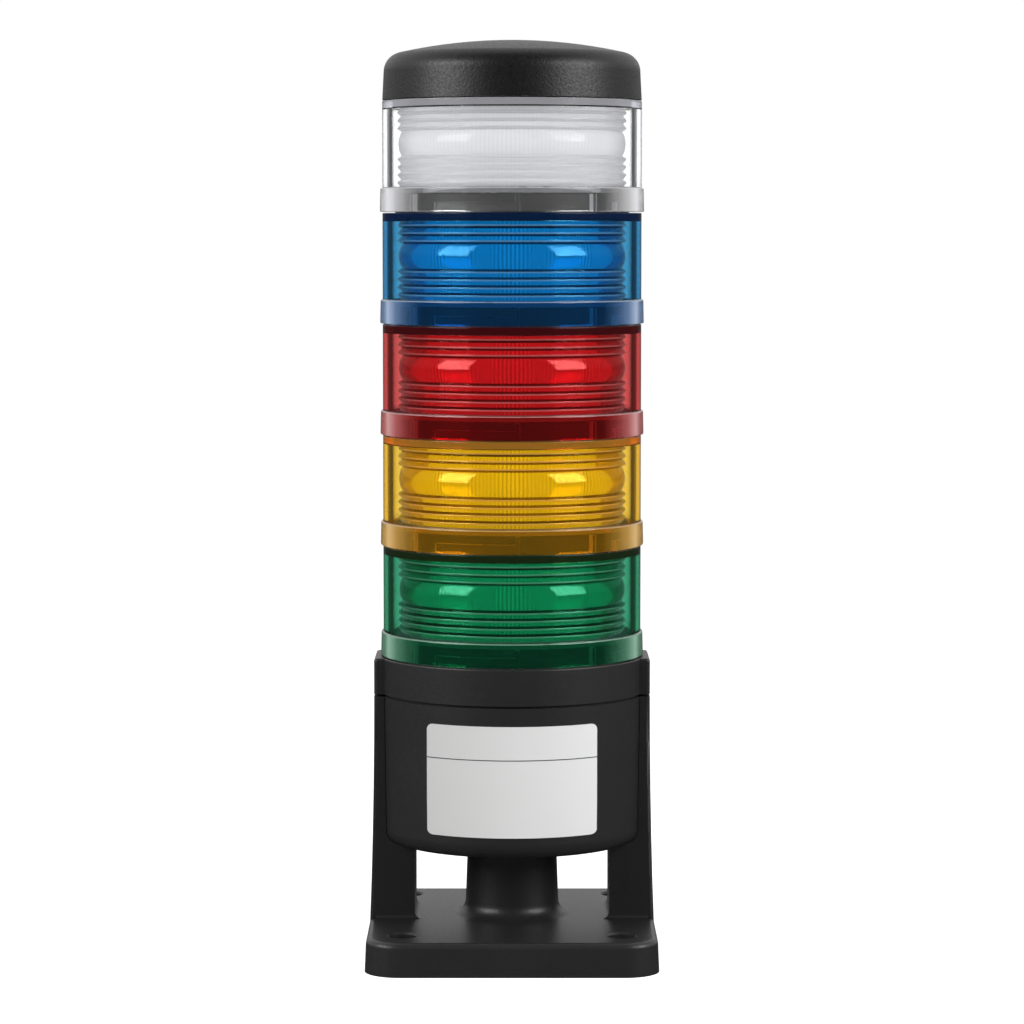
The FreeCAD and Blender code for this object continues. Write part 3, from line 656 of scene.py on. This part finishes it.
# Step tints are painted shade on the prisms' undercut steps, nearly white only in the clear drum.
step_shade_tint = {"green": "#042a1e", "amber": "#6e5408", "red": "#4c0c10", "blue": "#04263a", "clear": "#f0f0f4"}
flute_light = {"green": 1.2, "amber": 1.0, "red": 1.2, "blue": 1.2, "clear": 1.0}
flute_shade = {"green": 0.85, "amber": 0.8, "red": 0.85, "blue": 0.85, "clear": 0.93}


def add_flute_shade_wave(tree):
    """A wave round the tower's axis, one for each flute, above zero on half of its width: the mask for
    painted flute light and shade.
    """
    place = add_node(tree, "ShaderNodeTexCoord").outputs["Object"]
    split = add_node(tree, "ShaderNodeSeparateXYZ", {"Vector": place})
    around = add_node(
        tree,
        "ShaderNodeMath",
        {0: split.outputs["X"], 1: split.outputs["Y"]},
        operation="ARCTAN2",
    )
    rib = add_node(tree, "ShaderNodeMath", {0: around.outputs[0], 1: flutes}, operation="MULTIPLY")
    return add_node(tree, "ShaderNodeMath", {0: rib.outputs[0]}, operation="SINE").outputs[0]


def paint_flute_shading(material, tint, light, shade):
    """Paints the light and shade of its flutes into a drum's tint, by a factor for the lit half and one for
    the shaded half.
    """
    tree = material.node_tree
    flute_shading = add_node(tree, "ShaderNodeMix", {"Factor": add_flute_shade_wave(tree)}, data_type="RGBA")
    base = linear(tint)[:3]
    flute_shading.inputs["A"].default_value = tuple(light * value for value in base) + (1,)
    flute_shading.inputs["B"].default_value = tuple(shade * value for value in base) + (1,)
    tree.links.new(flute_shading.outputs["Result"], tree.nodes["Principled BSDF"].inputs["Base Color"])


for tier, colour in enumerate(colours):
    loss = drum_dye[colour]
    gloss = drum_gloss[colour]
    tint = drum_tint[colour]
    haze = drum_haze[colour]
    bend = drum_bend[colour]
    step = step_shade_tint[colour]
    pale_highlight = pale_highlight_tint[colour]
    finishes = [
        polycarbonate(f"polycarbonate_{colour}_drum", loss, drum_polish, gloss, tint, haze, bloom, bend),
        polycarbonate(f"polycarbonate_{colour}_steps", loss, drum_polish, gloss, step, haze, 0.0, bend),
        polycarbonate(f"polycarbonate_{colour}_tips", loss, tip_rough, gloss, pale_highlight, tip_haze, bloom, bend),
    ]
    paint_flute_shading(finishes[0], tint, flute_light[colour], flute_shade[colour])
    piece = place_in_tier(drum, f"{colour}_drum_lens", tier, finishes)
    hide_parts(f"{colour}_inner_lens")
    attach(piece, f"{colour}_module")
drum.free()


# Inside each module: a dark floor that carries the sprung brass pins, a white circuit board with six
# diodes, and a milky cup over them that evens the light out.
# Opal polycarbonate is flat white; the faint ribs on it are painted shade of the drum's flutes in front.
milky_cup, tree, output = new_material("opal_polycarbonate_moulded")
milk_and_flute_shade = add_node(tree, "ShaderNodeMix", {"Factor": add_flute_shade_wave(tree)}, data_type="RGBA")
milk_and_flute_shade.inputs["A"].default_value = linear("#f4f4f4")
milk_and_flute_shade.inputs["B"].default_value = linear("#c6c6c6")
shader = add_node(
    tree,
    "ShaderNodeBsdfPrincipled",
    {"Base Color": milk_and_flute_shade.outputs["Result"], "Roughness": 0.8, "Specular IOR Level": 0.1},
)
tree.links.new(shader.outputs["BSDF"], output.inputs["Surface"])

# White solder mask on glass laminate: satin, with the weave just showing.
weave_width = 0.7
white_board, tree, output = new_material("white_solder_mask_on_laminate")
place = add_node(tree, "ShaderNodeTexCoord").outputs["Object"]
weave = add_node(
    tree,
    "ShaderNodeTexNoise",
    {"Vector": place, "Scale": 1 / (weave_width * MM), "Detail": 2.0},
)
mask = add_node(tree, "ShaderNodeMix", {"Factor": weave.outputs["Fac"]}, data_type="RGBA")
mask.inputs["A"].default_value = linear("#d9dcd9")
mask.inputs["B"].default_value = linear("#e4e6e3")
shader = add_node(
    tree,
    "ShaderNodeBsdfPrincipled",
    {"Base Color": mask.outputs["Result"], "Roughness": 0.35},
)
tree.links.new(shader.outputs["BSDF"], output.inputs["Surface"])

# The floor's plastic is black but looks dark grey through the ring, so it is given that grey here.
plate_grey = moulded_black(
    "dark_grey_pc_abs_smooth", "#4c4d50", "#55565a", grain=0.5, depth=0.01, roughness=0.6
)
for colour in colours:
    dress(plate_grey, f"{colour}_contact_plate")
    dress(milky_cup, f"{colour}_diffuser")
    dress(white_board, f"{colour}_led_board")
    dress(contact_brass, f"{colour}_contact_pins", f"{colour}_contact_tracks")
    dress(seal_rubber, f"{colour}_seal_ring")


# Socket ring on top of each module: a black PC/ABS neck with four lugs, pressed into the flange's hole.
# It shows through the bayonet ring of the tier above.
neck_black = moulded_black(
    "black_pc_abs_smooth", "#0c0c0d", "#101011", grain=0.5, depth=0.01, roughness=0.4
)
for colour in colours:
    dress(neck_black, f"{colour}_socket_ring")


# Cap: a domed cover in black PC/ABS that twists onto the top neck.
# Its grain is coarser than the stand's, so the highlights break up into specks.
cap_black = moulded_black(
    "black_pc_abs_coarse_grain", "#0b0b0c", "#121213", grain=0.7, depth=0.06, roughness=0.42
)
dress(cap_black, "top_cap")


# Studio floor: matt white paint that glows to the camera, so that it meets the white room without a seam.
# Mirrors and lenses don't see it, because the room lights them.
floor_glow = 0.83
floor_paint, tree, output = new_material("white_floor_paint")
path = add_node(tree, "ShaderNodeLightPath")
glow = add_node(
    tree,
    "ShaderNodeMath",
    {0: path.outputs["Is Camera Ray"], 1: floor_glow},
    operation="MULTIPLY",
)
shader = add_node(
    tree,
    "ShaderNodeBsdfPrincipled",
    {
        "Base Color": linear("#f2f2f2"),
        "Roughness": 0.9,
        "Specular IOR Level": 0.1,
        "Emission Color": (1, 1, 1, 1),
        "Emission Strength": glow.outputs[0],
    },
)
tree.links.new(shader.outputs["BSDF"], output.inputs["Surface"])
slab = bmesh.new()
bmesh.ops.create_grid(slab, x_segments=8, y_segments=8, size=4.0)
mesh = bpy.data.meshes.new("floor")
slab.to_mesh(mesh)
slab.free()
mesh.materials.append(floor_paint)
floor = bpy.data.objects.new("floor", mesh)
bpy.context.scene.collection.objects.link(floor)
floor.visible_glossy = False
floor.visible_transmission = False


# Soft boxes: two alike, left and right of the camera, turned down to the middle of the tower.
# They are wide for their distance, so the black plastic gets soft highlights and the floor soft shadows.
aim = (0.0, 0.0, 0.14)
reach = 0.9
rise = math.radians(24)
swing = math.radians(61)
for name, side in (("soft_box_left", -1), ("soft_box_right", 1)):
    turn = swing * side
    lamp = bpy.data.lights.new(name, "AREA")
    lamp.shape = "RECTANGLE"
    lamp.size = 0.57
    lamp.size_y = 0.48
    lamp.energy = 5.3
    box = bpy.data.objects.new(name, lamp)
    box.location = (
        aim[0] + reach * math.cos(rise) * math.sin(turn),
        aim[1] - reach * math.cos(rise) * math.cos(turn),
        aim[2] + reach * math.sin(rise),
    )
    box.rotation_euler = (math.pi / 2 - rise, 0, turn)
    bpy.context.scene.collection.objects.link(box)


# White room: pure white to the camera, and a gentle low light to everything matt.
# Lenses see a bright sheet behind the tower with dark beside it, which draws the dark lines in the tubes,
# a pale wall above it, and two tall panels beside the camera that light them from the front.
# Edges, turns and halves are degrees from straight behind; feet, tops and rises are slopes of the ray.
sheet_edge = (22, 28)
sheet_light = (1.2, 2.0)
sheet_in_mirror = 0.07
dark_light = 0.1
dark_in_mirror = 0.03
over_eye = (0.003, 0.011)
wall_edge = (92, 102)
wall_light = (0.8, 0.06)
wall_foot = (0.045, 0.075)
panel_turn = 119
panel_half = (16, 18)
panel_light = 14.0
panel_foot = (0.04, 0.06)
panel_top = (0.86, 0.90)
low_light = (0.66, 0.12)
low_rise = (0.1, 0.5)

room = bpy.data.worlds.new("white_room")
bpy.context.scene.world = room
room.use_nodes = True
tree = room.node_tree
tree.nodes.clear()
output = add_node(tree, "ShaderNodeOutputWorld")
path = add_node(tree, "ShaderNodeLightPath")
through = path.outputs["Is Transmission Ray"]
heading = add_node(tree, "ShaderNodeTexCoord").outputs["Generated"]
split = add_node(tree, "ShaderNodeSeparateXYZ", {"Vector": heading})
slope = split.outputs["Z"]
aside = add_node(
    tree,
    "ShaderNodeMath",
    {0: split.outputs["X"], 1: split.outputs["Y"]},
    operation="ARCTAN2",
)
off_axis = add_node(tree, "ShaderNodeMath", {0: aside.outputs[0]}, operation="ABSOLUTE")

brighter = add_node(
    tree,
    "ShaderNodeMapRange",
    {
        "Value": slope,
        "From Min": over_eye[0],
        "From Max": over_eye[1],
        "To Min": sheet_light[0],
        "To Max": sheet_light[1],
    },
)
behind = add_node(
    tree,
    "ShaderNodeMath",
    {0: through, 1: brighter.outputs["Result"], 2: sheet_in_mirror},
    operation="MULTIPLY_ADD",
)
beyond = add_node(
    tree,
    "ShaderNodeMath",
    {0: through, 1: dark_light, 2: dark_in_mirror},
    operation="MULTIPLY_ADD",
)
sheet = add_node(
    tree,
    "ShaderNodeMapRange",
    {
        "Value": off_axis.outputs[0],
        "From Min": math.radians(sheet_edge[0]),
        "From Max": math.radians(sheet_edge[1]),
        "To Min": behind.outputs[0],
        "To Max": beyond.outputs[0],
    },
)
wall = add_node(
    tree,
    "ShaderNodeMapRange",
    {
        "Value": off_axis.outputs[0],
        "From Min": math.radians(wall_edge[0]),
        "From Max": math.radians(wall_edge[1]),
        "To Min": wall_light[0],
        "To Max": wall_light[1],
    },
)
over_sheet = add_node(
    tree,
    "ShaderNodeMapRange",
    {"Value": slope, "From Min": wall_foot[0], "From Max": wall_foot[1]},
)
around = add_node(
    tree,
    "ShaderNodeMix",
    {"Factor": over_sheet.outputs["Result"], "A": sheet.outputs["Result"], "B": wall.outputs["Result"]},
    data_type="FLOAT",
)

from_front = add_node(
    tree,
    "ShaderNodeMath",
    {0: off_axis.outputs[0], 1: math.radians(panel_turn)},
    operation="SUBTRACT",
)
from_panel = add_node(tree, "ShaderNodeMath", {0: from_front.outputs[0]}, operation="ABSOLUTE")
panel = add_node(
    tree,
    "ShaderNodeMapRange",
    {
        "Value": from_panel.outputs[0],
        "From Min": math.radians(panel_half[0]),
        "From Max": math.radians(panel_half[1]),
        "To Min": panel_light,
        "To Max": 0.0,
    },
)
above = add_node(
    tree,
    "ShaderNodeMapRange",
    {"Value": slope, "From Min": panel_foot[0], "From Max": panel_foot[1]},
)
below = add_node(
    tree,
    "ShaderNodeMapRange",
    {"Value": slope, "From Min": panel_top[1], "From Max": panel_top[0]},
)
tall = add_node(
    tree,
    "ShaderNodeMath",
    {0: above.outputs["Result"], 1: below.outputs["Result"]},
    operation="MULTIPLY",
)
glare = add_node(
    tree,
    "ShaderNodeMath",
    {0: panel.outputs["Result"], 1: tall.outputs[0]},
    operation="MULTIPLY",
)
lens_glare = add_node(tree, "ShaderNodeMath", {0: glare.outputs[0], 1: through}, operation="MULTIPLY")
mirror = add_node(
    tree,
    "ShaderNodeMath",
    {0: around.outputs["Result"], 1: lens_glare.outputs[0]},
    operation="ADD",
)

scattered = add_node(
    tree,
    "ShaderNodeMath",
    {0: path.outputs["Diffuse Depth"], 1: 0.5},
    operation="GREATER_THAN",
)
mirrored = add_node(
    tree,
    "ShaderNodeMath",
    {0: path.outputs["Is Glossy Ray"], 1: through},
    operation="MAXIMUM",
)
show = add_node(
    tree,
    "ShaderNodeMath",
    {0: mirrored.outputs[0], 1: scattered.outputs[0]},
    operation="SUBTRACT",
    use_clamp=True,
)
low = add_node(
    tree,
    "ShaderNodeMapRange",
    {
        "Value": slope,
        "From Min": low_rise[0],
        "From Max": low_rise[1],
        "To Min": low_light[0],
        "To Max": low_light[1],
    },
)
lit = add_node(
    tree,
    "ShaderNodeMix",
    {"Factor": show.outputs[0], "A": low.outputs["Result"], "B": mirror.outputs[0]},
    data_type="FLOAT",
)
seen = add_node(
    tree,
    "ShaderNodeMix",
    {"Factor": path.outputs["Is Camera Ray"], "A": lit.outputs["Result"], "B": 1.0},
    data_type="FLOAT",
)
sky = add_node(tree, "ShaderNodeBackground", {"Color": (1, 1, 1, 1), "Strength": seen.outputs["Result"]})
tree.links.new(sky.outputs["Background"], output.inputs["Surface"])


# Camera: a long lens nearly a metre away, at the height of the blue module's top.
# It is tipped down to the middle of the tower and isn't shifted.
tip_down = 4.56
eye = bpy.data.cameras.new("camera")
eye.sensor_width = 36.0
eye.lens = 127.4
eye.clip_end = 50.0
camera = bpy.data.objects.new("camera", eye)
camera.location = (0.0, -0.983, 0.1973)
camera.rotation_euler = (math.radians(90 - tip_down), 0, 0)
bpy.context.scene.collection.objects.link(camera)
bpy.context.scene.camera = camera
bpy.context.scene.view_settings.view_transform = "Standard"
